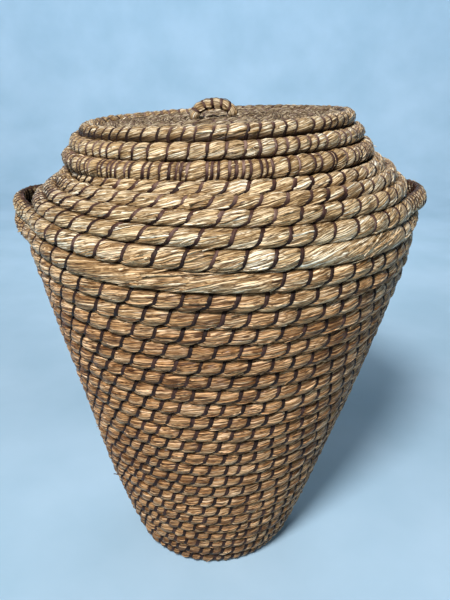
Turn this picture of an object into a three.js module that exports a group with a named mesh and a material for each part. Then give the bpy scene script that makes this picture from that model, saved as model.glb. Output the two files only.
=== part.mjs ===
// A tall round coiled-straw basket with a lift-off lid, in millimetres, +Z up.
// Each turn of the straw coil is one ring. The foot stands on z = 0, the handles bow out at -X and +X.
import * as THREE from 'three';

// Driving dimensions
const COIL = 17.15;            // height of one turn, measured along the wall
const WALL = 14;               // depth of the seam between two turns
const BULGE = 2.6;             // how far a turn swells past its seams
const GAP = 0.4;               // running gap kept between neighbouring pieces
const SIDES = 24;              // facets round a ring
const FOOT_RADIUS = 88.7;      // outer radius of the wall where it meets the ground

// Lean of each wall turn from upright, in degrees, counted from the foot: + is outwards.
const WALL_TURNS = 29;
const WALL_LEAN = [
  [1, 22.8], [4, 18.3], [8, 15.7], [22, 14], [24, 4.6],
  [25, -2.2], [26, -16.5], [27, -37.6], [28, -58.7], [29, -90],
];

// Side handles: turns that leave the wall and come back to it
const HANDLE_REACH = 22;       // how far a handle stands out from the wall
const HANDLE_SPAN = 25;        // half of the angle that a handle takes, degrees
const LEFT = Math.PI;
const RIGHT = 0;
const HANDLE_TURNS = {
  24: { name: 'handle_coil_lower', at: [LEFT] },
  25: { name: 'handle_coil_middle', at: [LEFT, RIGHT] },
  26: { name: 'handle_coil_upper', at: [RIGHT] },
};
// The basket is made by hand, so it is a little crooked. At each height: how far it has moved towards +X,
// how wide it is across X as a share of its depth, how many degrees its turns tilt, +X side up, and nod,
// +Y side up, and how far they have risen.
const CROOK = [
  { height: 20, shift: -9, width: 1, tilt: 0, nod: 0, rise: 0 },
  { height: 110, shift: -8, width: 1, tilt: 0.2, nod: 0.5, rise: -1.2 },
  { height: 240, shift: -2, width: 1, tilt: 0.5, nod: 0.7, rise: -1.2 },
  { height: 340, shift: 0, width: 1, tilt: 0.4, nod: 0.8, rise: -1 },
  { height: 385, shift: 0, width: 1, tilt: -0.1, nod: 0.7, rise: 0 },
  { height: 415, shift: 0.8, width: 0.995, tilt: -0.3, nod: 0.6, rise: 1.2 },
  { height: 445, shift: 4, width: 0.95, tilt: 1.6, nod: 0.4, rise: 0.8 },
];
const SHOULDER_NAMES = { 27: 'shoulder_coil_1', 28: 'shoulder_coil_2', 29: 'mouth_coil' };

// Base: a flat spiral inside the first wall turn
const BASE_THICK = 14;
const BASE_RINGS = 3;
const BASE_CENTRE = 25;        // radius of the tight centre of the spiral

// Lid, in its own frame: it sits a little askew on the mouth
const LID_HEIGHT = 478.9;      // height of the lid's own origin above the ground
const LID_SHIFT = -5.5;        // it has slid this far towards -X
const LID_TILT = 3.3;          // degrees, +X side up
const LID_COILS = [18.8, 16.4, 16.4];
const LID_EDGE = new THREE.Vector2(157.4, -21);
const LID_SIDE_LEAN = [-25, -31, -42];
const LID_TOP = 14.5;          // height of the sunken top's surface over the lid's origin
const LID_TOP_THICK = 13;
const LID_TOP_RINGS = 5;
const LID_CENTRE = 34;         // radius of the tight centre of the lid's spiral

// Loop on the lid
const LOOP_HALF_SPAN = 20;     // centre of the loop to the middle of a foot
const LOOP_RISE = 15;          // foot to the middle of the crown
const LOOP_RADIUS = 4.8;
const LASHING = { inner: 5.3, outer: 6.5, from: 0.08, to: 0.26 };   // ends as shares of the loop

const STRAW = { color: 0xb98d4f, roughness: 0.72, metalness: 0 };
const OLD_STRAW = { color: 0x9c8a6b, roughness: 0.8, metalness: 0 };
const SPLINT = { color: 0x4b3430, roughness: 0.6, metalness: 0 };

const radians = THREE.MathUtils.degToRad;
const basket = new THREE.Group();

function add(name, geometry, look, parent = basket) {
  const mesh = new THREE.Mesh(geometry, new THREE.MeshStandardMaterial(look));
  mesh.name = name;
  parent.add(mesh);
  return mesh;
}

// A ring from a closed outline of [radius, height] points, listed upwards on the outside
function ring(outline, sides = SIDES) {
  const points = [...outline, outline[0]].map(([r, z]) => new THREE.Vector2(r, z));
  return new THREE.LatheGeometry(points, sides).rotateX(Math.PI / 2);
}

// A solid disc or cap from an outline that starts and ends on the axis
function disc(outline, sides = SIDES) {
  const points = outline.map(([r, z]) => new THREE.Vector2(r, z));
  return new THREE.LatheGeometry(points, sides).rotateX(Math.PI / 2);
}

const along = (lean) => new THREE.Vector2(Math.sin(radians(lean)), Math.cos(radians(lean)));
const outward = (lean) => new THREE.Vector2(Math.cos(radians(lean)), -Math.sin(radians(lean)));

function leanOfTurn(turn) {
  const last = WALL_LEAN.findIndex(([at]) => at >= turn);
  if (last === 0) return WALL_LEAN[0][1];
  const [[a, low], [b, high]] = [WALL_LEAN[last - 1], WALL_LEAN[last]];
  return THREE.MathUtils.mapLinear(turn, a, b, low, high);
}

// Seams between stacked turns: where each lies on the outside, and which way it faces
function stackSeams(start, leans, pitches, firstLean, lastLean) {
  const seams = [{ at: start.clone(), lean: firstLean }];
  leans.forEach((lean, i) => {
    const at = seams[i].at.clone().addScaledVector(along(lean), pitches[i]);
    const next = i + 1 < leans.length ? leans[i + 1] : 2 * lastLean - lean;
    seams.push({ at, lean: (lean + next) / 2 });
  });
  return seams;
}

// The section of the turn between two seams: swollen outside, flat inside
function turnSection(low, high, depth = WALL) {
  const lift = along((low.lean + high.lean) / 2).multiplyScalar(GAP / 2);
  const lowOut = low.at.clone().add(lift);
  const highOut = high.at.clone().sub(lift);
  const lowIn = lowOut.clone().addScaledVector(outward(low.lean), -depth);
  const highIn = highOut.clone().addScaledVector(outward(high.lean), -depth);
  const middle = lowOut.clone().lerp(highOut, 0.5)
    .addScaledVector(outward((low.lean + high.lean) / 2), BULGE);
  return [lowOut, middle, highOut, highIn, lowIn].map((p) => [p.x, p.y]);
}

// Pushes a ring outwards round each handle, in a smooth bow
function bowOut(geometry, centres) {
  const place = geometry.attributes.position;
  for (let i = 0; i < place.count; i += 1) {
    const x = place.getX(i);
    const y = place.getY(i);
    const radius = Math.hypot(x, y);
    let reach = 0;
    for (const centre of centres) {
      const turned = Math.atan2(y, x) - centre;
      const off = Math.abs(Math.atan2(Math.sin(turned), Math.cos(turned)));
      const share = Math.min(off / radians(HANDLE_SPAN), 1);
      reach += (HANDLE_REACH * (1 + Math.cos(Math.PI * share))) / 2;
    }
    place.setXY(i, (x * (radius + reach)) / radius, (y * (radius + reach)) / radius);
  }
  return geometry;
}

// Moves a piece of the upright basket to where the crooked one has it
function makeCrooked(geometry) {
  const place = geometry.attributes.position;
  for (let i = 0; i < place.count; i += 1) {
    const z = THREE.MathUtils.clamp(place.getZ(i), CROOK[0].height, CROOK.at(-1).height);
    const above = Math.max(1, CROOK.findIndex(({ height }) => height >= z));
    const [low, high] = [CROOK[above - 1], CROOK[above]];
    const between = (key) => THREE.MathUtils.mapLinear(z, low.height, high.height, low[key], high[key]);
    const x = place.getX(i) * between('width') + between('shift');
    const tilted = x * Math.tan(radians(between('tilt')));
    const nodded = place.getY(i) * Math.tan(radians(between('nod')));
    place.setX(i, x);
    place.setZ(i, place.getZ(i) + between('rise') + tilted + nodded);
  }
  return geometry;
}

// Wall, handles, shoulder and mouth
const leans = Array.from({ length: WALL_TURNS }, (_, i) => leanOfTurn(i + 1));
const foot = new THREE.Vector2(FOOT_RADIUS, -GAP / 2);
const pitches = leans.map(() => COIL);
const seams = stackSeams(foot, leans, pitches, 0, leans[WALL_TURNS - 1]);
for (let turn = 1; turn <= WALL_TURNS; turn += 1) {
  const section = turnSection(seams[turn - 1], seams[turn]);
  const handle = HANDLE_TURNS[turn];
  if (handle) {
    add(handle.name, makeCrooked(bowOut(ring(section, SIDES * 2), handle.at)), STRAW);
  } else {
    if (turn === 1) section[0][1] = section[4][1] = 0;
    const number = String(turn).padStart(2, '0');
    add(SHOULDER_NAMES[turn] ?? `wall_coil_${number}`, makeCrooked(ring(section)), STRAW);
  }
}

// Base, flush with the foot
const baseEdge = FOOT_RADIUS - WALL - GAP;
const baseStep = (baseEdge - BASE_CENTRE) / BASE_RINGS;
for (let i = 0; i < BASE_RINGS; i += 1) {
  const inner = BASE_CENTRE + i * baseStep + GAP / 2;
  const outer = BASE_CENTRE + (i + 1) * baseStep - GAP / 2;
  const middle = (inner + outer) / 2;
  const crown = BASE_THICK + BULGE / 2;
  const outline = [[inner, 0], [outer, 0], [outer, BASE_THICK], [middle, crown], [inner, BASE_THICK]];
  add(`base_coil_${i + 1}`, makeCrooked(ring(outline)), STRAW);
}
const baseCore = BASE_CENTRE - GAP / 2;
const coreOutline = [[0, 0], [baseCore, 0], [baseCore, BASE_THICK], [0, BASE_THICK]];
add('base_centre', makeCrooked(disc(coreOutline)), STRAW);

// Lid: skirt turns, rim and sunken top
const lid = new THREE.Group();
lid.position.set(LID_SHIFT, 0, LID_HEIGHT);
lid.rotation.y = -radians(LID_TILT);
basket.add(lid);

const lidSeams = stackSeams(LID_EDGE, LID_SIDE_LEAN, LID_COILS, 10, -48);
const lidNames = ['lid_side_coil_1', 'lid_side_coil_2', 'lid_rim_coil'];
lidNames.forEach((name, i) => {
  add(name, ring(turnSection(lidSeams[i], lidSeams[i + 1])), STRAW, lid);
});

const [, , , rimTopIn, rimLowIn] = turnSection(lidSeams[2], lidSeams[3]);
const lidBottom = LID_TOP - LID_TOP_THICK;
const topEdge = rimTopIn[0] - GAP;
const topStep = (topEdge - LID_CENTRE) / LID_TOP_RINGS;
for (let i = 0; i < LID_TOP_RINGS; i += 1) {
  const inner = LID_CENTRE + i * topStep + GAP / 2;
  const outer = LID_CENTRE + (i + 1) * topStep - GAP / 2;
  const crown = [(inner + outer) / 2, LID_TOP + BULGE / 2];
  const edge = i + 1 < LID_TOP_RINGS
    ? [[outer, lidBottom], [outer, LID_TOP]]
    : [[rimLowIn[0] - 2 * GAP, lidBottom], [rimTopIn[0] - 2 * GAP, rimTopIn[1]]];
  add(`lid_top_coil_${i + 1}`, ring([[inner, lidBottom], ...edge, crown, [inner, LID_TOP]]), OLD_STRAW, lid);
}
const lidCore = LID_CENTRE - GAP / 2;
const lidCoreOutline = [[0, lidBottom], [lidCore, lidBottom], [lidCore, LID_TOP], [0, LID_TOP]];
add('lid_centre', disc(lidCoreOutline), OLD_STRAW, lid);

// Loop: an arch standing on the lid's top, with a lashing round each leg
class Arch extends THREE.Curve {
  constructor(from = 0, to = 1) {
    super();
    this.from = from;
    this.to = to;
  }

  getPoint(t, target = new THREE.Vector3()) {
    const turn = Math.PI * (1 - THREE.MathUtils.lerp(this.from, this.to, t));
    const rise = LOOP_RISE * Math.sin(turn) ** 0.8;
    return target.set(LOOP_HALF_SPAN * Math.cos(turn), 0, rise);
  }
}

function sweep(section, path, steps) {
  return new THREE.ExtrudeGeometry(section, { steps, curveSegments: 4, extrudePath: path });
}

const round = (radius) => new THREE.Shape().absarc(0, 0, radius, 0, 2 * Math.PI);
const band = round(LASHING.outer);
band.holes.push(round(LASHING.inner));
const { from, to } = LASHING;
const loopPieces = [
  add('lid_loop', sweep(round(LOOP_RADIUS), new Arch(), 14), STRAW, lid),
  add('loop_lashing_left', sweep(band, new Arch(from, to), 4), SPLINT, lid),
  add('loop_lashing_right', sweep(band, new Arch(1 - to, 1 - from), 4), SPLINT, lid),
];
for (const piece of loopPieces) piece.position.z = LID_TOP + GAP;

export default basket;
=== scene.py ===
"""A lidded basket of stitched straw coil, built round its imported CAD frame.

Each coil is one long bundle of straw on a left-handed spiral, held by stitches of split cane that mostly
stand 5 to 30 mm apart. It is cut at stitches into one piece for each turn, and the stitches of each turn
are one piece as well. Shapes are worked out upright, and then moved to where the crooked basket and its
tilted lid have them. Lengths are in metres.
"""
import math

import bpy
import numpy as np
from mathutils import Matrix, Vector


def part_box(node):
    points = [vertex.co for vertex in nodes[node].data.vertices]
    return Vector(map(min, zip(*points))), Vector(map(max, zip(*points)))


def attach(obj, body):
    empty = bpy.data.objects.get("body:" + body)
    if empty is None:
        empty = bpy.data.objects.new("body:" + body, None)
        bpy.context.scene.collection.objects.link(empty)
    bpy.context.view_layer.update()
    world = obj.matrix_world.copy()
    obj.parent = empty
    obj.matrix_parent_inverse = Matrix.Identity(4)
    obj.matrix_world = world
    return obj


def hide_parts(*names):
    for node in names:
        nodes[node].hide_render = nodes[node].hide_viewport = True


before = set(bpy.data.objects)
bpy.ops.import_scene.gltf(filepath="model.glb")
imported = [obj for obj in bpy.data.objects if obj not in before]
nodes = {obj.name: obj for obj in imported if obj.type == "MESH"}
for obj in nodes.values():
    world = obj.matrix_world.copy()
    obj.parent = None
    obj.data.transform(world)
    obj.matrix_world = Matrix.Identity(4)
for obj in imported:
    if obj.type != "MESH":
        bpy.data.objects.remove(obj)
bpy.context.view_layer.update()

MM = 0.001
chance = np.random.default_rng(11)

# Where the CAD has the lid
LID_PLACE = np.array([-5.5, 0, 478.9]) * MM
LID_TILT = math.radians(3.3)

# How crooked the CAD has the basket, at each height: its move towards +X, its width as a share of its
# depth, its tilt with the +X side up, its nod with the +Y side up, and its rise
CROOK_HEIGHT = np.array([20, 110, 240, 340, 385, 415, 445]) * MM
CROOK_SHIFT = np.array([-9, -8, -2, 0, 0, 0.8, 4]) * MM
CROOK_WIDTH = np.array([1, 1, 1, 1, 1, 0.995, 0.95])
CROOK_TILT = np.radians([0, 0.2, 0.5, 0.4, -0.1, -0.3, 1.6])
CROOK_NOD = np.radians([0, 0.5, 0.7, 0.8, 0.7, 0.6, 0.4])
CROOK_RISE = np.array([0, -1.2, -1.2, -1, 0, 1.2, 0.8]) * MM

# Straw coil
DEPTH = 8.4 * MM               # half of the coil's thickness through the wall
INSET = 0.9 * MM               # the coil's middle lies this far inside the middle of the CAD ring
TIGHTNESS = 1.04               # its height, as a share of the distance from turn to turn
FATTEST = 1.4                  # the most that half of its height can be, as a share of DEPTH
PINCH = 0.8 * MM               # how far a stitch pulls the straw in
SWELL = 1.0 * MM               # how far the straw swells between stitches
RISE = 3.0 * MM                # distance from a stitch over which it swells
RIDGE = 0.4 * MM               # unevenness of the bundled straw
FACE_SWELL, BACK_SWELL = 1.0, 0.3                # share of the swelling, outside and inside
WALL_TWIST, EDGE_TWIST = 16.0, 32.0              # turn of the straw round the bundle, radians per metre
LONG_GAP = 34 * MM             # a gap that has lost its stitches
BARE_STEP = 3.5 * MM           # about how far apart the rings of points are in such a gap

# Loose stalks
STALK_WIDTH = (0.9 * MM, 1.9 * MM)
STALK_THICK = 0.3 * MM         # half of a stalk's thickness
STALK_EVERY = 7 * MM           # one loose stalk for each such length of coil
STALK_SUNK = 0.15 * MM         # how deep its ends lie in the straw
STALK_ANGLES = (-1.25, 1.35)   # where its middle lies round the coil, radians up from straight out
STALK_TWIST = (0.4, 1.8)       # its twist, as a share of the straw's
STALK_PROUD = (0.1 * MM, 0.55 * MM)              # how far its middle stands out
FRAYED, BARE_FRAYED = 0.03, 0.45                 # share that are broken, in stitched and in bare straw
FRAY_LENGTH = (0.35, 0.7)      # how long a broken one is, as a share of the gap
FRAY_LIFT = (2 * MM, 10 * MM)  # how far its end stands out, times the share of the gap that it lacks
STALK_STEPS = np.linspace(0, 1, 6)
STALK_PROFILE = np.array([[-1, 0], [0, 1], [1, 0], [0, -1]])

# Splint. A stitch leans as it comes down the outside, and then steps on in the seam to the next one down
SPLINT_WIDTH = 5.1 * MM
LID_SPLINT_WIDTH = 3.5 * MM
SPLINT_THICK = 0.7 * MM
SPLINT_SUNK = 0.75             # how deep it lies in the pinched straw, as a share of the pinch
BODY_LEAN, BODY_STEP = 7.5 * MM, 12.5 * MM
LID_LEAN, LID_STEP = 2.5 * MM, 4.0 * MM
WALL_SEAM, EDGE_SEAM = 0.54, 0.68              # where the step starts, as a share of the way down
SEAM_LENGTH = 0.24             # the share of the way down that the step takes
SHOULDER = 24.3                # from this turn on the wall has the seam, twist and pinch of the lid's edge
STRAY = 1.1 * MM               # about how far a stitch strays from its place above another
UNEVEN = 0.5 * MM              # about how far a stitch wanders as it goes round the coil
SPLINT_ANGLES = np.radians([*np.arange(-104, 101, 13.6), *np.arange(116, 250, 44)])
SPLINT_PROFILE = np.array([[-1, -0.6], [-0.75, 0.65], [0, 1], [0.75, 0.65], [1, -0.6]])

# Angles round the coil's section, counted from straight out of the wall: close together outside, wide apart
# inside. Then the places of the section's copies between two stitches, as shares of the gap
SECTION = np.radians([*np.arange(-95, 96, 12.7), *np.arange(112, 264, 30)])
CELL_PLACES = np.array([0, 0.1, 0.24, 0.5, 0.76, 0.9])

# Side handles
HANDLE_SPAN = math.radians(25)
HANDLE_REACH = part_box("handle_coil_middle")[1].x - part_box("handle_coil_middle")[1].y
HANDLE_THIN = 0.36             # how much thinner the coil is at the middle of a handle
HANDLE_STITCHED = 0.8          # share of that span on which the stitches are close
# Angle, the lower of its two turns, rise in the middle, and how far that lower turn stands out, as a share
HANDLES = [(math.pi, 23, 5 * MM, 0.95), (0.0, 24, 2 * MM, 0.35)]


# ---------------------------------------------------------------- geometry helpers

def smooth(at, known, values):
    """Cubic interpolation through known points."""
    slope = np.gradient(values, known)
    i = np.clip(np.searchsorted(known, at) - 1, 0, len(known) - 2)
    gap = known[i + 1] - known[i]
    u = (at - known[i]) / gap
    start = (1 + 2 * u) * (1 - u) ** 2 * values[i] + u * (1 - u) ** 2 * gap * slope[i]
    end = u * u * (3 - 2 * u) * values[i + 1] + u * u * (u - 1) * gap * slope[i + 1]
    return start + end


def unit(vectors):
    return vectors / np.linalg.norm(vectors, axis=-1, keepdims=True)


def crook_at(height):
    """Shift, width, tilt, nod and rise at heights of the upright basket."""
    columns = (CROOK_SHIFT, CROOK_WIDTH, CROOK_TILT, CROOK_NOD, CROOK_RISE)
    return [np.interp(height, CROOK_HEIGHT, column) for column in columns]


def make_crooked(points):
    """Upright basket to the crooked one, which stands flat on the ground."""
    x, y, z = np.moveaxis(points, -1, 0)
    shift, width, tilt, nod, rise = crook_at(z)
    moved = x * width + shift
    placed = z + rise + moved * np.tan(tilt) + y * np.tan(nod)
    return np.stack([moved, y, np.maximum(placed, 0)], axis=-1)


def place_lid(points):
    """The lid's own frame to the row's frame."""
    c, s = math.cos(LID_TILT), math.sin(LID_TILT)
    x, y, z = np.moveaxis(points, -1, 0)
    return np.stack([x * c - z * s, y, z * c + x * s], axis=-1) + LID_PLACE


def undo_lid(points):
    c, s = math.cos(LID_TILT), math.sin(LID_TILT)
    x, y, z = (points - LID_PLACE).T
    return np.stack([x * c + z * s, y, z * c - x * s], axis=-1)


def undo_crook(points):
    """Crooked basket to the upright one, by closing in on the height."""
    x, y, placed = points.T
    z = placed
    for _ in range(6):
        shift, width, tilt, nod, rise = crook_at(z)
        z = placed - rise - x * np.tan(tilt) - y * np.tan(nod)
    return np.stack([(x - shift) / width, y, z], axis=-1)


def ring_middle(node, undo):
    """(radius, height) of the middle of a ring's section, where the ring crosses its front."""
    points = undo(np.array([v.co for v in nodes[node].data.vertices]))
    front = points[(np.abs(points[:, 0]) < 0.4 * MM) & (points[:, 1] < 0)]
    low, high = front.min(axis=0), front.max(axis=0)
    return -(low[1] + high[1]) / 2, (low[2] + high[2]) / 2


def make_object(name, points, faces, material, flat=(), **layers):
    """A smooth mesh object that stays above the ground, with one attribute for each layer of values.
    flat are faces left flat."""
    mesh = bpy.data.meshes.new(name)
    points[:, 2] = np.maximum(points[:, 2], 0)
    mesh.from_pydata(points.tolist(), [], faces)
    shades = np.ones(len(faces), bool)
    shades[list(flat)] = False
    mesh.polygons.foreach_set("use_smooth", shades)
    for key, values in layers.items():
        kind, field = ("FLOAT_VECTOR", "vector") if values.ndim == 2 else ("FLOAT", "value")
        layer = mesh.attributes.new(key, kind, "POINT")
        layer.data.foreach_set(field, values.astype(np.float32).ravel())
    mesh.materials.append(material)
    mesh.update()
    made = bpy.data.objects.new(name, mesh)
    bpy.context.scene.collection.objects.link(made)
    return made


def tube_faces(rings, sides, closed=False):
    """Quads of a tube with that many rings, each of that many points."""
    count = rings if closed else rings - 1
    ring, side = np.meshgrid(np.arange(count), np.arange(sides), indexing="ij")
    after, beside = (ring + 1) % rings, (side + 1) % sides
    quads = [ring * sides + side, ring * sides + beside, after * sides + beside, after * sides + side]
    return np.stack(quads, axis=-1).reshape(-1, 4)


def cap_faces(rings, sides):
    last = (rings - 1) * sides
    return [list(range(sides))[::-1], list(range(last, last + sides))]


# ---------------------------------------------------------------- materials

def new_material(name):
    material = bpy.data.materials.new(name)
    material.use_nodes = True
    tree = material.node_tree
    return material, tree, tree.nodes["Principled BSDF"]


def add_node(tree, kind, inputs, **settings):
    """One node. inputs pairs each input with a value or with another node's output."""
    made = tree.nodes.new(kind)
    for key, value in settings.items():
        setattr(made, key, value)
    for key, value in inputs.items():
        if isinstance(value, bpy.types.NodeSocket):
            tree.links.new(value, made.inputs[key])
        else:
            made.inputs[key].default_value = value
    return made


def attribute(tree, name, output="Fac"):
    return add_node(tree, "ShaderNodeAttribute", {}, attribute_name=name).outputs[output]


def ramp(tree, factor, stops):
    made = add_node(tree, "ShaderNodeValToRGB", {0: factor})
    elements = made.color_ramp.elements
    while len(elements) < len(stops):
        elements.new(0.5)
    for element, (place, colour) in zip(elements, stops):
        element.position = place
        element.color = (*colour, 1)
    return made.outputs["Color"]


def arithmetic(tree, operation, a, b):
    return add_node(tree, "ShaderNodeMath", {0: a, 1: b}, operation=operation).outputs[0]


def weighted(tree, *pairs):
    """The sum of value times weight."""
    total = 0.0
    for value, weight in pairs:
        inputs = {0: value, 1: weight, 2: total}
        total = add_node(tree, "ShaderNodeMath", inputs, operation="MULTIPLY_ADD").outputs[0]
    return total


def rescale(tree, value, low, high, to_low, to_high):
    inputs = {"Value": value, "From Min": low, "From Max": high, "To Min": to_low, "To Max": to_high}
    return add_node(tree, "ShaderNodeMapRange", inputs).outputs["Result"]


def blend(tree, kind, factor, a, b):
    """Mixes two colours. The colour sockets of a Mix node are its seventh and eighth."""
    made = add_node(tree, "ShaderNodeMix", {}, data_type="RGBA", blend_type=kind)
    for index, value in ((0, factor), (6, a), (7, b)):
        if isinstance(value, bpy.types.NodeSocket):
            tree.links.new(value, made.inputs[index])
        else:
            made.inputs[index].default_value = value
    return made.outputs[2]


def stretch(tree, vector, along, across):
    """A coordinate whose first axis runs along the straw."""
    inputs = {"Vector": vector, "Scale": (along, across, across)}
    return add_node(tree, "ShaderNodeMapping", inputs).outputs[0]


def noise(tree, place, detail=2.0):
    return add_node(tree, "ShaderNodeTexNoise", {"Vector": place, "Scale": 1.0, "Detail": detail})


def cells(tree, place, feature):
    inputs = {"Vector": place, "Scale": 1.0}
    return add_node(tree, "ShaderNodeTexVoronoi", inputs, feature=feature)


def add_bump(tree, shader, relief, strength, distance):
    inputs = {"Height": relief, "Strength": strength, "Distance": distance}
    bump = add_node(tree, "ShaderNodeBump", inputs)
    tree.links.new(bump.outputs["Normal"], shader.inputs["Normal"])


def object_height(tree):
    place = add_node(tree, "ShaderNodeTexCoord", {}).outputs["Object"]
    return add_node(tree, "ShaderNodeSeparateXYZ", {0: place}).outputs[2]


# How often each pattern repeats in a metre, along the straw and across it
BENDS, STALKS, FIBRES, PATCHES, CRACKS = (55, 160), (18, 780), (70, 2300), (12, 45), (70, 760)
PORES, WORN = (90, 1500), (100, 240)             # and along the splint and across it
BEND_WIDTH = 3.2 * MM          # how far the bends move the stalks sideways
# The straw of the lower body is darker and browner: partly its own browner tone, partly painted shade from
# the light falling from above
LOW_SHADE = 0.13               # how far down its tints the straw of the lower body is
LOW_HEIGHTS = (0.465, 0.385)   # heights at which that starts and is complete, before the patches lower them
PATCH_HEIGHT = 0.10            # the most that the patches lower them
PAINTED_LIGHT_HEIGHTS = (0.39, 0.45)   # heights between which the splint turns from darker to paler: painted light from above


def wave(tree, bundle):
    """The place in the bundle, bent to and fro across the straw."""
    bend = noise(tree, stretch(tree, bundle, *BENDS)).outputs["Color"]
    centred = {0: bend, 1: (0.5, 0.5, 0.5)}
    bent = add_node(tree, "ShaderNodeVectorMath", centred, operation="SUBTRACT").outputs[0]
    inputs = {0: bent, 1: (0, BEND_WIDTH, BEND_WIDTH), 2: bundle}
    return add_node(tree, "ShaderNodeVectorMath", inputs, operation="MULTIPLY_ADD").outputs[0]


def painted_straw_shade(tree, gap, fibre, crack):
    """How dark each place is: painted shade between the stalks, in cracks and in the seams, redder where
    darker, with the tone varying along the fibres.
    """
    dark = rescale(tree, gap, 0, 0.13, 0.22, 1)
    for value, bounds in ((fibre, (0.3, 0.7, 0.7, 1.25)), (crack, (0.48, 0.64, 1.2, 0.36)),
                          (attribute(tree, "seam"), (0.4, 0.95, 1, 0.12))):
        dark = arithmetic(tree, "MULTIPLY", dark, rescale(tree, value, *bounds))
    green, blue = (arithmetic(tree, "POWER", dark, power) for power in (1.15, 1.35))
    return add_node(tree, "ShaderNodeCombineColor", {0: dark, 1: green, 2: blue}).outputs[0]


def straw_material(name, tints, lower_tint_and_shade, roughness):
    """Bundled straw: separate stalks, each with its own tint, with painted shade between them and in the
    seams.
    """
    material, tree, shader = new_material(name)
    bundle = attribute(tree, "bundle", "Vector")
    waved = wave(tree, bundle)
    place = stretch(tree, waved, *STALKS)
    stalks = cells(tree, place, "F1")
    gap = cells(tree, place, "DISTANCE_TO_EDGE").outputs["Distance"]
    fibre = noise(tree, stretch(tree, waved, *FIBRES), 3.0).outputs["Fac"]
    patch = noise(tree, stretch(tree, bundle, *PATCHES)).outputs["Fac"]
    crack = noise(tree, stretch(tree, waved, *CRACKS), 3.0).outputs["Fac"]

    pick = add_node(tree, "ShaderNodeSeparateColor", {0: stalks.outputs["Color"]}).outputs[0]
    # darker and browner lower down: partly the straw's own tone, partly painted shade
    height = weighted(tree, (object_height(tree), 1.0), (patch, PATCH_HEIGHT))
    lower = rescale(tree, height, *LOW_HEIGHTS, 0, 1)
    mixed = weighted(tree, (pick, 0.52), (patch, 0.26), (attribute(tree, "cell"), 0.16), (fibre, 0.14),
                     (lower, -LOW_SHADE))
    colour = blend(tree, "MULTIPLY", lower, ramp(tree, mixed, tints), (*lower_tint_and_shade, 1))
    # the straw's colour times its painted shade
    shaded = blend(tree, "MULTIPLY", 1.0, colour, painted_straw_shade(tree, gap, fibre, crack))
    tree.links.new(shaded, shader.inputs["Base Color"])

    relief = weighted(tree, (rescale(tree, gap, 0, 0.3, 0, 1), 1.0), (fibre, 0.4))
    add_bump(tree, shader, relief, 0.9, 0.5 * MM)
    rough = rescale(tree, fibre, 0.3, 0.7, roughness - 0.12, roughness + 0.12)
    tree.links.new(rough, shader.inputs["Roughness"])
    shader.inputs["Specular IOR Level"].default_value = 0.22
    return material


def splint_material():
    """Split cane: dark purple-brown, with long pores and paler worn lengths, darker at the foot as painted
    shade and paler higher up as painted light.
    """
    material, tree, shader = new_material("split_cane")
    place, tone = attribute(tree, "splint", "Vector"), attribute(tree, "tone")
    pores = noise(tree, stretch(tree, place, *PORES), 4.0).outputs["Fac"]
    worn = noise(tree, stretch(tree, place, *WORN)).outputs["Fac"]
    # the foot of each stitch, where it goes down into the seam, is darkened as painted shade
    foot = attribute(tree, "foot")
    worn = rescale(tree, worn, 0.35, 0.75, 0, 1)
    # painted light: darker low on the body, paler higher up
    painted_height_light = rescale(tree, object_height(tree), *PAINTED_LIGHT_HEIGHTS, -0.8, 1)
    mixed = weighted(tree, (pores, 0.50), (tone, 0.26), (worn, 0.26), (foot, -0.30), (painted_height_light, 0.16))
    tree.links.new(ramp(tree, mixed, CANE), shader.inputs["Base Color"])
    shader.inputs["Specular IOR Level"].default_value = 0.2
    add_bump(tree, shader, pores, 0.6, 0.3 * MM)
    tree.links.new(rescale(tree, pores, 0.3, 0.7, 0.45, 0.7), shader.inputs["Roughness"])
    return material


GOLDEN = [
    (0.16, (0.18, 0.095, 0.036)), (0.36, (0.43, 0.275, 0.125)), (0.54, (0.65, 0.46, 0.25)),
    (0.70, (0.81, 0.64, 0.41)), (0.90, (0.92, 0.84, 0.66)),
]
GREYED = [
    (0.16, (0.09, 0.055, 0.028)), (0.36, (0.21, 0.145, 0.08)), (0.54, (0.34, 0.255, 0.155)),
    (0.70, (0.47, 0.375, 0.25)), (0.90, (0.68, 0.59, 0.44)),
]
CANE = [
    (0.10, (0.008, 0.003, 0.002)), (0.36, (0.022, 0.009, 0.006)),
    (0.60, (0.070, 0.032, 0.024)), (0.90, (0.28, 0.18, 0.14)),
]
# the third value of each is the lower body's tint, partly its own tone and partly painted shade
straw = straw_material("golden_straw", GOLDEN, (0.95, 0.75, 0.63), 0.40)
old_straw = straw_material("weathered_straw", GREYED, (0.8, 0.75, 0.7), 0.8)
cane = splint_material()


# ---------------------------------------------------------------- coils

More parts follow.
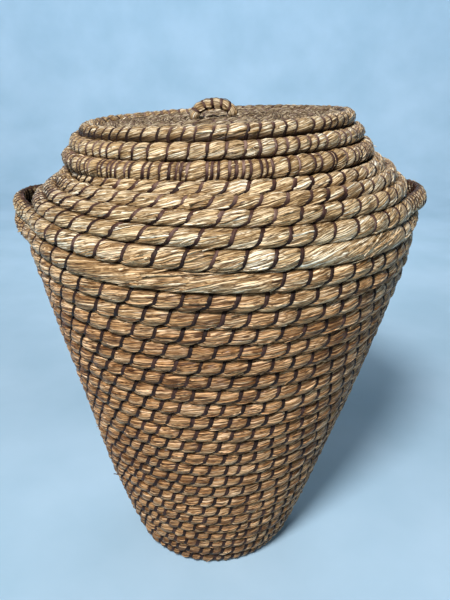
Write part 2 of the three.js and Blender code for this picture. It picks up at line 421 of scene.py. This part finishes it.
class Bundle:
    """A bundle of straw along a path, sampled along it: its middle, the two directions of its section that
    point out of the wall and up it, and its half sizes in them. place moves finished points to where the
    basket has them. low is how much of the lower wall's seam and twist it has, rather than the lid's."""

    def __init__(self, middle, outward, up, half_out, half_up, place, lean, step, turns=None, low=0.0):
        self.middle, self.outward, self.up = middle, outward, up
        self.half_out, self.half_up, self.place = half_out, half_up, place
        self.lean, self.step = lean, step
        lengths = np.linalg.norm(np.diff(middle, axis=0), axis=1)
        self.length = np.concatenate([[0], np.cumsum(lengths)])
        self.turns = self.length if turns is None else turns
        low = low + 0 * self.length
        self.seam = EDGE_SEAM + (WALL_SEAM - EDGE_SEAM) * low
        self.twist = EDGE_TWIST + (WALL_TWIST - EDGE_TWIST) * low
        self.wound = np.concatenate([[0], np.cumsum(lengths * self.twist[1:])])

    def look(self, table, at):
        if table.ndim == 1:
            return np.interp(at, self.length, table)
        return np.stack([np.interp(at, self.length, column) for column in table.T], axis=-1)

    def length_at(self, turn):
        return np.interp(turn, self.turns, self.length)

    def turn_at(self, length):
        return np.interp(length, self.length, self.turns)

    def surface(self, at, angle, lift):
        """Points on the bundle at those lengths and angles round its section."""
        out = ((self.look(self.half_out, at) + lift) * np.cos(angle))[..., None]
        up = ((self.look(self.half_up, at) + lift) * np.sin(angle))[..., None]
        middle = self.look(self.middle, at)
        return self.place(middle + self.look(self.outward, at) * out + self.look(self.up, at) * up)

    def slant(self, angle, at):
        """How far along the coil a stitch has got at an angle round the section. It leans as it comes down
        the outside, steps on in the seam below, and comes back inside the wall."""
        down = np.clip(0.5 - angle / math.pi, 0, 1)
        seam = np.clip((down - self.look(self.seam, at)) / SEAM_LENGTH, 0, 1)
        inside = np.clip(angle / math.pi - 0.5, 0, 1)
        outside = self.lean * down ** 1.2 + (self.step - self.lean) * seam * seam * (3 - 2 * seam)
        return outside + self.step * inside


TURN_STEP = 0.002              # how finely a spiral is worked out, in turns


def spiral(known_turns, radii, heights, first, last, place, lean, step, thickness, bow=None):
    """A coil that winds through ring sections, one at each known turn, where that turn passes the front."""
    turn = np.arange(first, last, TURN_STEP)
    radius, height = (smooth(turn, known_turns, np.array(v)) for v in (radii, heights))
    around = -math.pi / 2 - 2 * math.pi * (turn - 0.5)
    rise_r, rise_z = np.gradient(radius, turn), np.gradient(height, turn)
    pitch = np.hypot(rise_r, rise_z)
    up_r, up_z = rise_r / pitch, rise_z / pitch
    radius, height = radius - INSET * up_z, height + INSET * up_r
    half_out = DEPTH * thickness(turn)
    if bow is not None:
        reach, lift = bow(turn, around)
        radius, height = radius + reach, height + lift
        half_out = half_out * (1 - HANDLE_THIN * reach / HANDLE_REACH)
    spoke = np.stack([np.cos(around), np.sin(around), 0 * around], axis=-1)
    pole = np.array([0, 0, 1.0])
    middle = spoke * radius[:, None] + pole * height[:, None]
    up = spoke * up_r[:, None] + pole * up_z[:, None]
    outward = spoke * up_z[:, None] - pole * up_r[:, None]
    half_up = np.minimum(pitch / 2 * TIGHTNESS, FATTEST * DEPTH) * thickness(turn)
    low = np.clip(SHOULDER - turn, 0, 1) if last > SHOULDER else 0.0
    return Bundle(middle, outward, up, half_out, half_up, place, lean, step, turn, low)


def lay_stitches(bundle, first, last, start, closest, widest):
    """Lengths of the stitches along a coil. Each one follows a stitch of the turn below it, a step back
    along the coil. Where two then stand too far apart others go between them, and one too close to the last
    is left out. start gives the first turn's gaps, and closest and widest the gaps allowed at a length."""
    end = bundle.length_at(last)
    laid = [bundle.length_at(first)]
    while laid[-1] < bundle.length_at(first + 1):
        laid.append(laid[-1] + start())
    follow = 0
    while laid[-1] < end and follow < len(laid):
        below = laid[follow]
        if 0 < follow < len(laid) - 1:
            below = 0.5 * below + 0.25 * (laid[follow - 1] + laid[follow + 1])
        above = bundle.length_at(bundle.turn_at(below) + 1) - bundle.step + chance.normal(0, STRAY)
        follow += 1
        gap = above - laid[-1]
        if gap < closest(laid[-1]):
            continue
        extra = max(0, math.ceil(gap / widest(laid[-1])) - 1)
        for _ in range(extra):
            laid.append(laid[-1] + gap / (extra + 1) * chance.uniform(0.9, 1.1))
        laid.append(above)
    return np.array([at for at in laid if at <= end])


def ring_places(stitches):
    """Lengths at which a turn of straw has its rings of points, with the number of the stitch before each
    and its distance from the nearest stitch."""
    places, owners, rise = [], [], []
    for number, gap in enumerate(np.diff(stitches)):
        inside = CELL_PLACES if gap < LONG_GAP else np.linspace(0, 1, int(gap / BARE_STEP))[:-1]
        places.append(stitches[number] + inside * gap)
        owners.append(np.full(len(inside), number))
        rise.append(np.minimum(inside, 1 - inside) * gap)
    places = np.concatenate([*places, stitches[-1:]])
    owners = np.concatenate([*owners, [len(stitches) - 2]])
    return places, owners, np.concatenate([*rise, [0]])


def swell(rise):
    """How much of its swelling the straw has at a distance from the nearest stitch, as a share."""
    return 1 - np.exp(-(rise / RISE) ** 2)


def straw_turn(name, bundle, stitches, material, pinch):
    """The straw of one turn with its loose stalks, swelling between its stitches, from first to last."""
    places, owners, rise = ring_places(stitches)
    seats = chance.normal(0, 1, (len(stitches), len(SECTION)))
    tints = chance.uniform(0, 1, len(stitches))
    swelling = swell(rise)[:, None]
    facing = BACK_SWELL + (FACE_SWELL - BACK_SWELL) * np.clip(np.cos(SECTION) + 0.35, 0, 1)
    at = places[:, None] + bundle.slant(SECTION, places[:, None])
    lift = -PINCH * pinch + swelling * ((PINCH + SWELL) * pinch + RIDGE * seats[owners]) * facing
    points = bundle.surface(at, np.broadcast_to(SECTION, at.shape), lift).reshape(-1, 3)
    turned = SECTION + bundle.look(bundle.wound, at)
    wide = np.stack([at, DEPTH * np.cos(turned), DEPTH * np.sin(turned)], axis=-1).reshape(-1, 3)
    # seam is painted shade: darker towards the seams with the rows above and below, and beside the stitches
    # where the straw is pinched
    seam = np.maximum(np.abs(np.sin(SECTION)) ** 3 + 0 * at, 0.8 * (1 - swelling)).ravel()
    rings, sides = at.shape
    quads = tube_faces(rings, sides)
    faces = quads.tolist() + cap_faces(rings, sides)
    caps = [len(quads), len(quads) + 1]

    more = loose_stalks(bundle, stitches, pinch)
    faces += [[corner + len(points) for corner in face] for face in more.pop("faces")]
    layers = {"bundle": wide, "seam": seam, "cell": np.repeat(tints[owners], sides)}
    layers = {key: np.concatenate([values, more[key]]) for key, values in layers.items()}
    return make_object(name, np.concatenate([points, more["points"]]), faces, material, caps, **layers)


def lay_stalks(bundle, stitches, pinch):
    """Paths of the loose stalks, with the directions out of the coil and across each stalk, its angle and
    length along the coil at each step, and half of its width, which is less at a broken end."""
    gaps = np.diff(stitches)
    owner = np.repeat(np.arange(len(gaps)), np.maximum(1, np.round(gaps / STALK_EVERY)).astype(int))
    count = len(owner)
    gap = gaps[owner][:, None]
    frays = np.where(gaps[owner] < LONG_GAP, FRAYED, BARE_FRAYED)
    reach = np.where(chance.random(count) < frays, chance.uniform(*FRAY_LENGTH, count), 1)[:, None]
    share = STALK_STEPS * reach
    start = stitches[owner][:, None]
    twist = bundle.look(bundle.twist, start) * chance.uniform(*STALK_TWIST, count)[:, None]
    angle = chance.uniform(*STALK_ANGLES, count)[:, None] - twist * gap * (share - 0.5)
    at = start + share * gap + bundle.slant(angle, start)
    rise = np.minimum(share, 1 - share) * gap
    hug = -PINCH * pinch + (PINCH + SWELL) * pinch * swell(rise) - STALK_SUNK
    proud = chance.uniform(*STALK_PROUD, count)[:, None] * np.sin(math.pi * share) ** 0.5
    off = (1 - reach) * chance.uniform(*FRAY_LIFT, count)[:, None] * (STALK_STEPS ** 3)
    path = bundle.surface(at, angle, hug + proud + off)
    normal = unit(bundle.surface(at, angle, hug + MM) - bundle.surface(at, angle, hug))
    across = unit(np.cross(unit(np.gradient(path, axis=1)), normal))
    half = chance.uniform(*STALK_WIDTH, count)[:, None] / 2 * (1 - 0.6 * (1 - reach) * STALK_STEPS)
    return path, normal, across, angle, at, half


def loose_stalks(bundle, stitches, pinch):
    """Flat stalks that lie on the bundle from stitch to stitch. A few have broken and stick out."""
    path, normal, across, angle, at, half = lay_stalks(bundle, stitches, pinch)
    wide = half[:, :, None] * STALK_PROFILE[:, 0]
    points = (path[:, :, None] + across[:, :, None] * wide[..., None]
              + normal[:, :, None] * (STALK_THICK * STALK_PROFILE[:, 1])[:, None])
    count, steps, sides = points.shape[:3]
    one = [*tube_faces(steps, sides).tolist(), *cap_faces(steps, sides)]
    faces = [[corner + k * steps * sides for corner in face] for k in range(count) for face in one]
    own = chance.uniform(0, 0.4, (count, 1, 1))
    spot = np.stack(np.broadcast_arrays(at[:, :, None], 0.3 * wide + own, own), axis=-1)
    # painted shade, a little weaker than on the coil: darker on stalks that lie towards the seams
    seam = np.broadcast_to((np.abs(np.sin(angle)) ** 3)[:, :, None], wide.shape)
    tint = np.broadcast_to(chance.uniform(-0.2, 1.25, (count, 1, 1)), wide.shape)
    return {"points": points.reshape(-1, 3), "faces": faces, "bundle": spot.reshape(-1, 3),
            "seam": 0.85 * seam.ravel(), "cell": tint.ravel()}


def splint_turn(name, bundle, stitches, width):
    """The stitches of one turn: flat bands that wrap the bundle, most of them narrower at the foot."""
    count, around, sides = len(stitches), len(SPLINT_ANGLES), len(SPLINT_PROFILE)
    wander = chance.normal(0, UNEVEN, (count, 1)) * np.sin(SPLINT_ANGLES)
    wander = wander + chance.normal(0, UNEVEN, (count, 1)) * np.cos(SPLINT_ANGLES)
    at = stitches[:, None] + bundle.slant(SPLINT_ANGLES, stitches[:, None]) + wander
    angle = np.broadcast_to(SPLINT_ANGLES, at.shape)
    path = bundle.surface(at, angle, -SPLINT_SUNK * PINCH)
    normal = unit(bundle.surface(at, angle, MM) - path)
    onward = unit(np.roll(path, -1, axis=1) - np.roll(path, 1, axis=1))
    across = unit(np.cross(onward, normal))
    # foot is where the stitch goes down into the seam below: the cane narrows there, and its colour is
    # darkened there as painted shade
    foot = np.clip(-1.4 * np.sin(SPLINT_ANGLES), 0, 1) ** 2 * (np.cos(SPLINT_ANGLES) > -0.3)
    half = width / 2 * chance.uniform(0.75, 1.15, (count, 1))
    half = half * (1 - foot * chance.uniform(-0.2, 0.6, (count, 1)))
    spread = half[:, :, None] * SPLINT_PROFILE[:, 0]
    raised = normal[:, :, None] * (SPLINT_THICK * SPLINT_PROFILE[:, 1])[:, None]
    points = path[:, :, None] + across[:, :, None] * spread[..., None] + raised
    run = np.cumsum(np.linalg.norm(path - np.roll(path, 1, axis=1), axis=-1), axis=1) + 10 * at[:, :1]
    tone = np.broadcast_to(chance.uniform(0, 1, (count, 1, 1)), spread.shape)
    place = np.stack(np.broadcast_arrays(run[..., None], spread, 0.02 * tone), axis=-1)
    faces = tube_faces(around, sides, closed=True) + around * sides * np.arange(count)[:, None, None]
    return make_object(name, points.reshape(-1, 3), faces.reshape(-1, 4).tolist(), cane,
                       splint=place.reshape(-1, 3), tone=tone.ravel(),
                       foot=np.broadcast_to(foot[:, None], spread.shape).ravel())


def fit_piece(piece, body, slot, *replaced):
    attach(piece, body)
    if replaced:
        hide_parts(*replaced)


# How much of the usual pinch and swell these have: the turns at the basket's top and the lid's edge, the
# worn turns of the lid's top, and the loop
EDGE_PINCH, WORN_PINCH, LOOP_PINCH = 0.65, 0.55, 0.7


def turn_pinch(body, first, worn):
    if worn:
        return WORN_PINCH
    return 1.0 if body == "basket" and first < SHOULDER else EDGE_PINCH


def coil_pieces(bundle, stitches, turns, body, width, weathered=()):
    """Cuts a stitched coil into its turns. turns gives each CAD ring's name, first and last turn."""
    placed = bundle.turn_at(stitches)
    for name, first, last in turns:
        low, high = np.searchsorted(placed, [first, last])
        own = stitches[low:min(high, len(stitches) - 1) + 1]
        worn = name in weathered
        material, slot = (old_straw, "weathered_straw") if worn else (straw, "straw")
        pinch = turn_pinch(body, first, worn)
        fit_piece(straw_turn(f"{name}_straw", bundle, own, material, pinch), body, slot, name)
        fit_piece(splint_turn(f"{name}_stitches", bundle, own[:-1], width), body, "splint")


THIN_END = 0.35                # thickness of a coil at its ends, as a share


def taper(turn, first, last, start_over, end_over):
    """Thickness of a coil that starts thin and ends thin, as a share."""
    grown = np.clip((turn - first) / start_over, 0, 1)
    left = np.clip((last - turn) / end_over, 0, 1)
    return THIN_END + (1 - THIN_END) * np.sin(grown * math.pi / 2) * np.sin(left * math.pi / 2)


# ---------------------------------------------------------------- basket

WALL = [f"wall_coil_{i:02d}" for i in range(1, 24)]
WALL += ["handle_coil_lower", "handle_coil_middle", "handle_coil_upper"]
WALL += ["shoulder_coil_1", "shoulder_coil_2", "mouth_coil"]
BASE = ["base_coil_1", "base_coil_2", "base_coil_3"]
BASE_START = -4.6              # the spiral starts this many turns before the wall
BARE = [(23.475, 23.61), (24.345, 24.44)]        # stretches of coil whose stitches have gone
TOP = len(WALL)
MOUTH_RISE = 4 * MM            # how far the straw of the last turn stands above its CAD ring
FIRST_GAP = 9 * MM             # gap between the stitches of the first turn
CLOSEST = 8 * MM               # the closest that later ones may be, and then the gaps allowed on a handle
HANDLE_CLOSEST, HANDLE_WIDEST = 6 * MM, 12 * MM


def off_handle(around, centre):
    """The angle between a place and the middle of a handle."""
    return np.abs((around - centre + math.pi) % (2 * math.pi) - math.pi)


def handle_bow(turn, around):
    """How far the coil stands out from the wall, and how far it rises, at a turn and an angle."""
    reach, rise = np.zeros((2, len(turn)))
    for centre, first, lift, lower in HANDLES:
        share = np.minimum(off_handle(around, centre) / HANDLE_SPAN, 1)
        bow = np.where((turn > first) & (turn < first + 2), (1 + np.cos(math.pi * share)) / 2, 0)
        bow = bow * np.where(turn < first + 1, lower, 1)
        reach += HANDLE_REACH * bow
        rise += lift * bow ** 2
    return reach, rise


def basket_coil():
    """The basket's coil: two turns in the middle of the base, and then one along each CAD ring."""
    middles = [ring_middle(name, undo_crook) for name in BASE + WALL]
    radii = [0.6 * DEPTH, 2 * DEPTH, *[m[0] for m in middles]]
    heights = [middles[0][1]] * 2 + [m[1] for m in middles]
    heights[-1] += MOUTH_RISE
    known = np.array([-4.5, -3.5, *np.arange(len(middles)) - 2.5])
    return spiral(known, radii, heights, BASE_START, TOP, make_crooked, BODY_LEAN, BODY_STEP,
                  lambda turn: taper(turn, BASE_START, TOP, start_over=0.5, end_over=0.12), handle_bow)


def widest_gap(turn):
    """The widest gap allowed between stitches: close in the base, and wider up the wall."""
    return 12 * MM if turn < 0 else min(16 + turn, 29) * MM


def basket_gap(coil, at, plain, handle):
    """The gap between stitches that is allowed at a length: shorter on the handles."""
    turn = coil.turn_at(at)
    around = math.pi / 2 - 2 * math.pi * turn
    span = HANDLE_SPAN * HANDLE_STITCHED
    on_handle = any(first < turn < first + 2 and off_handle(around, centre) < span
                    for centre, first, _, _ in HANDLES)
    return handle if on_handle else plain


def make_basket():
    coil = basket_coil()
    stitches = lay_stitches(coil, BASE_START, TOP, lambda: FIRST_GAP,
                            lambda at: basket_gap(coil, at, CLOSEST, HANDLE_CLOSEST),
                            lambda at: basket_gap(coil, at, widest_gap(coil.turn_at(at)), HANDLE_WIDEST))
    turn = coil.turn_at(stitches)
    bare = np.any([(turn > low) & (turn < high) for low, high in BARE], axis=0)
    turns = [("base_centre", BASE_START, -3)]
    turns += [(name, i - 3, i - 2) for i, name in enumerate(BASE)]
    turns += [(name, i, i + 1) for i, name in enumerate(WALL)]
    coil_pieces(coil, stitches[~bare], turns, "basket", SPLINT_WIDTH)


# ---------------------------------------------------------------- lid

LID_RINGS = ["lid_side_coil_1", "lid_side_coil_2", "lid_rim_coil"]
LID_TOPS = [f"lid_top_coil_{i}" for i in range(5, 0, -1)]
LID_END = 10.35                # turns from the lid's edge to the middle of its top
FAT_EDGE = 0.24                # how much thicker the lid's first turn is
SAG = 4.5 * MM                 # the most that it hangs down, on the +X side and a little towards the front
EDGE_GAPS = [4.6, 5.4, 8, 13]  # gaps between its stitches, about, in millimetres
LID_CLOSEST, LID_WIDEST = 11 * MM, 18 * MM       # gaps allowed between later stitches


def lid_thickness(turn):
    plain = taper(turn, 0, LID_END, start_over=0.12, end_over=0.4)
    return plain * (1 + FAT_EDGE * np.clip(1.5 - turn, 0, 1))


def lid_sag(turn, around):
    return 0 * turn, -SAG * (0.6 + 0.4 * np.cos(around + 0.5)) * np.clip(1.5 - turn, 0, 1)


def make_lid():
    """The lid's coil: one turn along each CAD ring, and then the rest in the middle of the top."""
    middles = [ring_middle(name, undo_lid) for name in LID_RINGS + LID_TOPS]
    known = np.array([*np.arange(len(middles)) + 0.5, 8.5, 9.5, 10.5])
    radii = [*[m[0] for m in middles], 3 * DEPTH, 1.3 * DEPTH, 0.3 * DEPTH]
    heights = [*[m[1] for m in middles], *[middles[-1][1]] * 3]
    coil = spiral(known, radii, heights, 0, LID_END, place_lid, LID_LEAN, LID_STEP, lid_thickness, lid_sag)

    def edge_gap():
        return chance.choice(EDGE_GAPS) * MM * chance.uniform(0.9, 1.1)

    stitches = lay_stitches(coil, 0, LID_END, edge_gap, lambda at: LID_CLOSEST, lambda at: LID_WIDEST)
    turns = [(name, i, i + 1) for i, name in enumerate(LID_RINGS + LID_TOPS)]
    turns += [("lid_centre", len(turns), LID_END)]
    coil_pieces(coil, stitches, turns, "lid", LID_SPLINT_WIDTH, (*LID_TOPS, "lid_centre"))


LOOP_SPAN = 20 * MM            # half of the distance between the middles of its feet
LOOP_RISE, LOOP_FOOT = 14.6 * MM, 14.9 * MM      # its rise, and the height of its feet in the lid's frame
LOOP_HALF = 5.4 * MM           # half of its thickness
LOOP_LEAN, LOOP_STEP = 2 * MM, 3 * MM
LOOP_GRIP = 5                  # stitches between the ends of the loop


def make_loop():
    """A short arch of thin coil on the lid, lashed with splint."""
    turn = np.linspace(0, math.pi, 200)
    height = LOOP_RISE * np.sin(turn) ** 0.8 + LOOP_FOOT
    arch = np.stack([-LOOP_SPAN * np.cos(turn), 0 * turn, height], axis=-1)
    ahead = unit(np.gradient(arch, axis=0))
    side = np.broadcast_to([0, -1.0, 0], arch.shape)
    half = np.full(len(turn), LOOP_HALF)
    coil = Bundle(arch, side, np.cross(side, ahead), half, half, place_lid, LOOP_LEAN, LOOP_STEP)
    stitches = np.linspace(0, coil.length[-1] - LOOP_STEP, LOOP_GRIP + 2)
    fit_piece(straw_turn("lid_loop_straw", coil, stitches, straw, LOOP_PINCH), "lid", "straw", "lid_loop")
    fit_piece(splint_turn("lid_loop_lashing", coil, stitches[1:-1], LID_SPLINT_WIDTH), "lid", "splint",
              "loop_lashing_left", "loop_lashing_right")


# ---------------------------------------------------------------- floor, lights and camera

FLOOR_RADIUS, BEND, WALL_HEIGHT = 2.0, 0.8, 1.5  # of the flat part, of its bent edge, and of the wall's top
FLOOR_SIDES = 96
CLOTH = [(0.3, (0.36, 0.54, 0.68)), (0.7, (0.44, 0.62, 0.77))]


def make_floor():
    """A round floor that bends up into a low wall all the way round."""
    bend = np.linspace(0, math.pi / 2, 12)
    radii = [0.02, *FLOOR_RADIUS + BEND * np.sin(bend), FLOOR_RADIUS + BEND]
    heights = [0, *BEND * (1 - np.cos(bend)), WALL_HEIGHT]
    turn = np.linspace(0, 2 * math.pi, FLOOR_SIDES, endpoint=False)
    points = np.stack([np.outer(radii, np.cos(turn)), np.outer(radii, np.sin(turn)),
                       np.outer(heights, np.ones(FLOOR_SIDES))], axis=-1)
    faces = [*tube_faces(len(radii), FLOOR_SIDES).tolist(), list(range(FLOOR_SIDES))[::-1]]
    material, tree, shader = new_material("pale_cloth")
    place = add_node(tree, "ShaderNodeTexCoord", {}).outputs["Object"]
    cloth = noise(tree, stretch(tree, place, 5, 5), 6.0)
    tint = ramp(tree, cloth.outputs["Fac"], CLOTH)
    tree.links.new(tint, shader.inputs["Base Color"])
    shader.inputs["Roughness"].default_value = 0.9
    make_object("floor", points.reshape(-1, 3), faces, material)


def soft_light(name, place, target, size, power, colour):
    data = bpy.data.lights.new(name, "AREA")
    data.shape, data.size, data.energy, data.color = "DISK", size, power, colour
    made = bpy.data.objects.new(name, data)
    made.location = place
    made.rotation_euler = (Vector(target) - Vector(place)).to_track_quat("-Z", "Y").to_euler()
    bpy.context.scene.collection.objects.link(made)


def make_lights():
    soft_light("key", (-0.42, -1.45, 1.95), (0, 0, 0.3), 0.5, 68, (1.0, 0.985, 0.98))
    soft_light("fill", (0.0, -1.9, 0.8), (0, 0, 0.25), 1.0, 1.5, (1.0, 0.96, 0.9))
    soft_light("back", (0.4, 1.5, 1.9), (0, 0, 0.3), 1.4, 9, (0.95, 0.97, 1.0))
    soft_light("wash", (0, 1.0, 1.6), (0, 3, 0.7), 1.5, 23, (0.96, 0.98, 1.0))
    world = bpy.data.worlds.new("studio")
    bpy.context.scene.world = world
    world.use_nodes = True
    backdrop = world.node_tree.nodes["Background"]
    backdrop.inputs["Color"].default_value = (0.74, 0.70, 0.64, 1)
    backdrop.inputs["Strength"].default_value = 0.08


CAMERA_PLACE = (0, -0.6346, 0.5421)
CAMERA_DOWN, CAMERA_RIGHT = math.radians(21.2), math.radians(0.43)
FULL_FRAME = 36                # sensor's long side and lens, millimetres


def make_camera():
    data = bpy.data.cameras.new("camera")
    data.lens, data.sensor_width = FULL_FRAME, FULL_FRAME
    camera = bpy.data.objects.new("camera", data)
    camera.location = CAMERA_PLACE
    camera.rotation_euler = (math.pi / 2 - CAMERA_DOWN, 0, -CAMERA_RIGHT)
    bpy.context.scene.collection.objects.link(camera)
    bpy.context.scene.camera = camera
    bpy.context.scene.view_settings.view_transform = "Standard"


make_camera()
make_basket()
make_lid()
make_loop()
make_floor()
make_lights()
